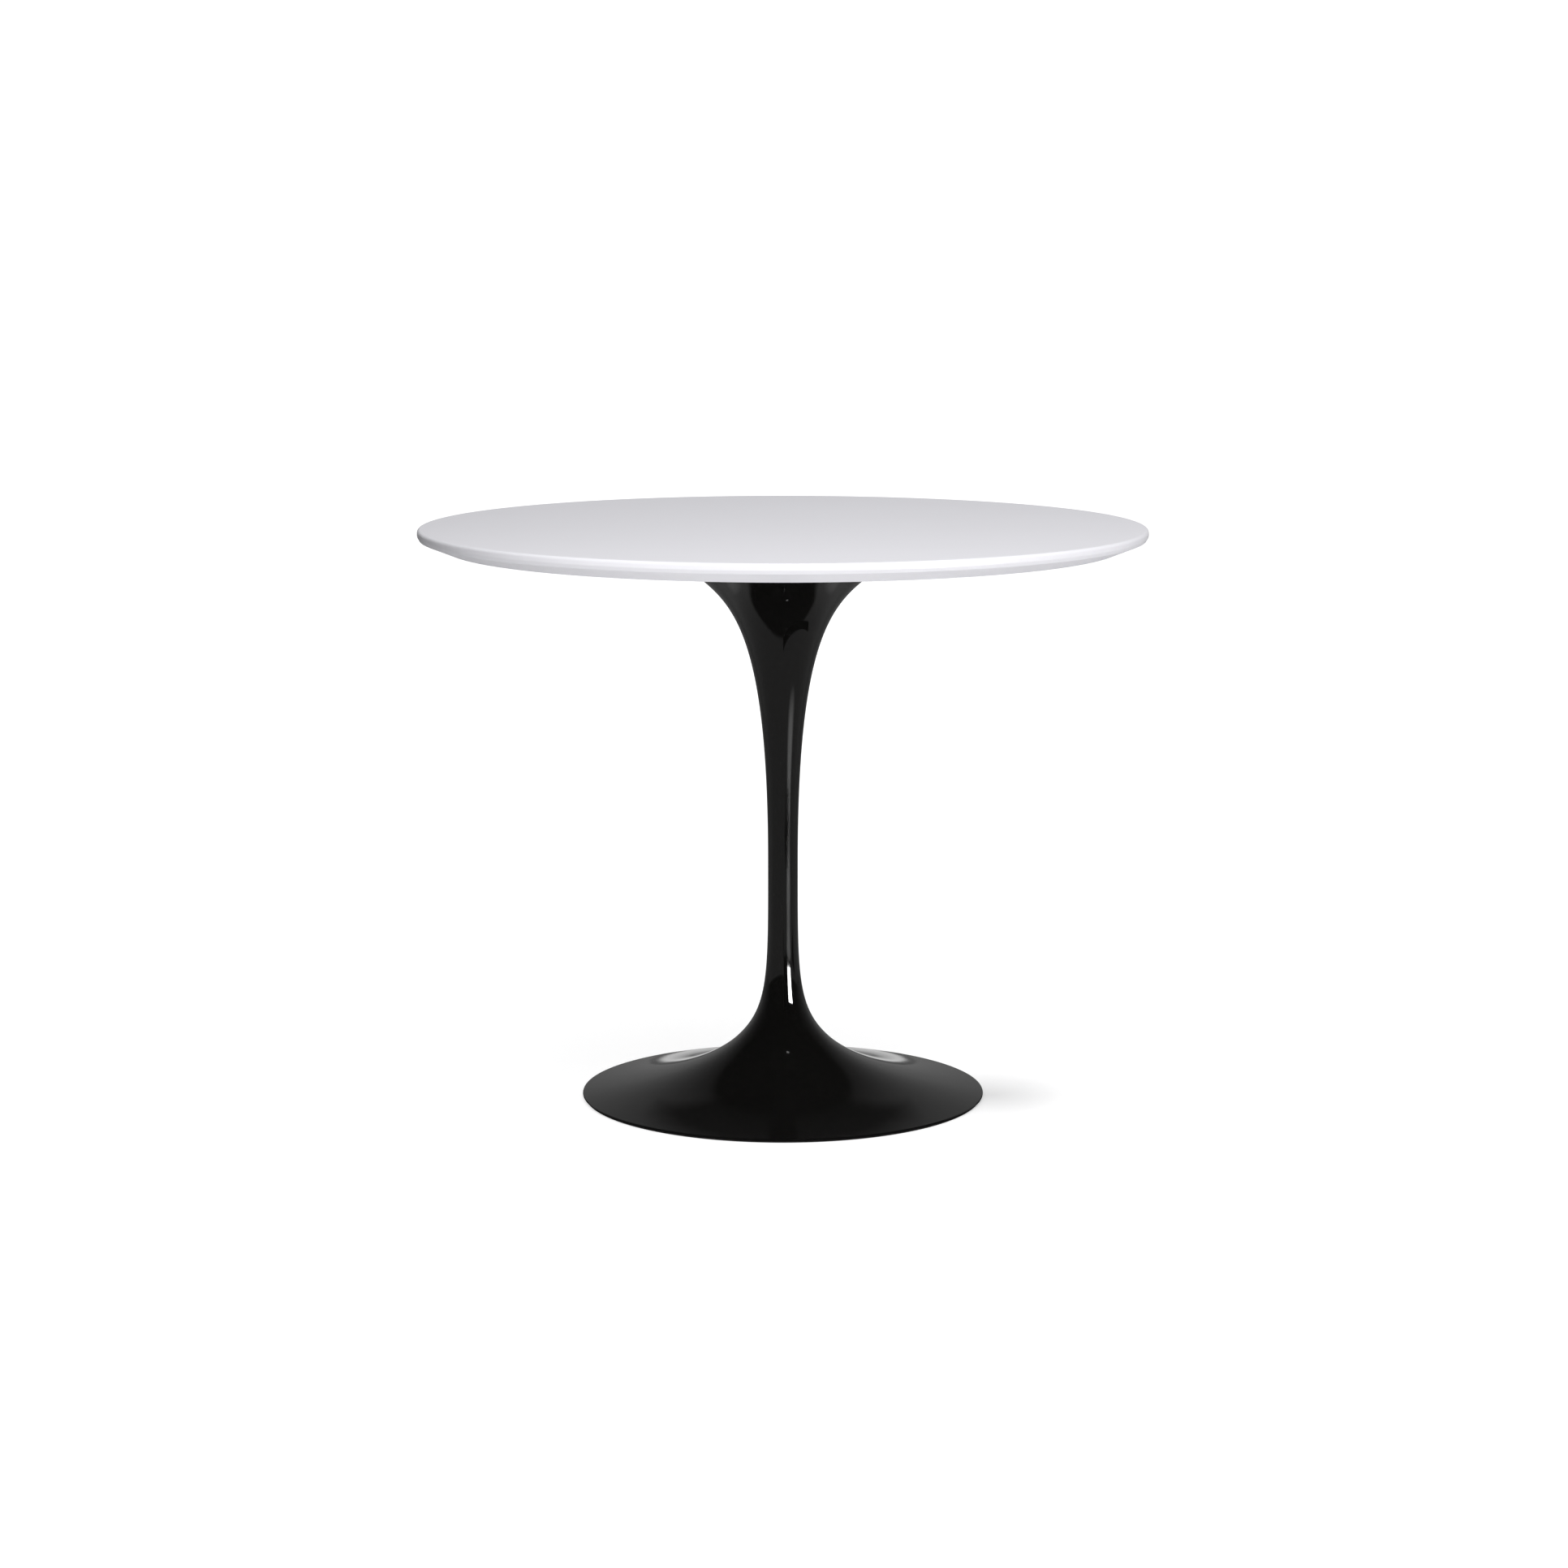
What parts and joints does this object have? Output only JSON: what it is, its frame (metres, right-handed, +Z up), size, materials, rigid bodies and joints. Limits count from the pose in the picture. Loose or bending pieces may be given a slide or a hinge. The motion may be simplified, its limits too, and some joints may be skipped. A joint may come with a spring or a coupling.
{
  "type": "round pedestal table",
  "caption": "Round dining table: a white lacquered board with an undercut edge on a one-piece gloss black flared pedestal, with levelling feet under the foot.",
  "frame": {"origin": "on the floor, at the centre of the foot, under the middle of the tabletop", "axes": "+Z up along the pedestal's axis; +X and +Y are level, and the table is round, so neither is a front"},
  "size_m": [0.9, 0.9, 0.718],
  "materials": {
    "white_lacquer": "satin",
    "black_gloss_lacquer": "gloss",
    "zinc_steel": "satin",
    "brass": "satin",
    "grey_iron": "matte",
    "black_rubber": "matte",
    "black_nylon": "matte"
  },
  "bodies": {
    "table": {"top_board": "white_lacquer", "mounting_plate": "zinc_steel", "mounting_hub": "zinc_steel", "pedestal": "black_gloss_lacquer", "floor_ring": "black_rubber", "draw_rod": "zinc_steel", "rod_washer": "zinc_steel", "rod_spring_washer": "zinc_steel", "rod_nut": "zinc_steel", "ballast_ring": "grey_iron", "insert_1": "brass", "plate_screw_1": "zinc_steel", "insert_2": "brass", "plate_screw_2": "zinc_steel", "insert_3": "brass", "plate_screw_3": "zinc_steel", "insert_4": "brass", "plate_screw_4": "zinc_steel", "insert_5": "brass", "plate_screw_5": "zinc_steel", "insert_6": "brass", "plate_screw_6": "zinc_steel", "locating_pin_1": "zinc_steel", "locating_pin_2": "zinc_steel", "ballast_screw_1": "zinc_steel", "ballast_screw_2": "zinc_steel", "ballast_screw_3": "zinc_steel", "ballast_screw_4": "zinc_steel"},
    "leveller_pad_1": {"leveller_pad_1": "black_nylon"},
    "leveller_stud_1": {"leveller_stud_1": "zinc_steel"},
    "leveller_pad_2": {"leveller_pad_2": "black_nylon"},
    "leveller_stud_2": {"leveller_stud_2": "zinc_steel"},
    "leveller_pad_3": {"leveller_pad_3": "black_nylon"},
    "leveller_stud_3": {"leveller_stud_3": "zinc_steel"},
    "leveller_pad_4": {"leveller_pad_4": "black_nylon"},
    "leveller_stud_4": {"leveller_stud_4": "zinc_steel"}
  },
  "joints": [
    {"name": "leveller_1_lift", "type": "slide", "parent": "table", "child": "leveller_pad_1", "axis": [0, 0, 1], "range_m": [-0.0045, 0]},
    {"name": "leveller_1_turn", "type": "hinge", "parent": "leveller_pad_1", "child": "leveller_stud_1", "pos_m": [0.12162, 0.12162, 0.003], "axis": [0, 0, 1], "range_deg": [-1638, 0]},
    {"name": "leveller_2_lift", "type": "slide", "parent": "table", "child": "leveller_pad_2", "axis": [0, 0, 1], "range_m": [-0.0045, 0]},
    {"name": "leveller_2_turn", "type": "hinge", "parent": "leveller_pad_2", "child": "leveller_stud_2", "pos_m": [-0.12162, 0.12162, 0.003], "axis": [0, 0, 1], "range_deg": [-1638, 0]},
    {"name": "leveller_3_lift", "type": "slide", "parent": "table", "child": "leveller_pad_3", "axis": [0, 0, 1], "range_m": [-0.0045, 0]},
    {"name": "leveller_3_turn", "type": "hinge", "parent": "leveller_pad_3", "child": "leveller_stud_3", "pos_m": [-0.12162, -0.12162, 0.003], "axis": [0, 0, 1], "range_deg": [-1638, 0]},
    {"name": "leveller_4_lift", "type": "slide", "parent": "table", "child": "leveller_pad_4", "axis": [0, 0, 1], "range_m": [-0.0045, 0]},
    {"name": "leveller_4_turn", "type": "hinge", "parent": "leveller_pad_4", "child": "leveller_stud_4", "pos_m": [0.12162, -0.12162, 0.003], "axis": [0, 0, 1], "range_deg": [-1638, 0]}
  ],
  "couplings": [
    {"joint": "leveller_1_turn", "follows": "leveller_1_lift", "rad_per_m": 6283.2},
    {"joint": "leveller_2_turn", "follows": "leveller_2_lift", "rad_per_m": 6283.2},
    {"joint": "leveller_3_turn", "follows": "leveller_3_lift", "rad_per_m": 6283.2},
    {"joint": "leveller_4_turn", "follows": "leveller_4_lift", "rad_per_m": 6283.2}
  ]
}
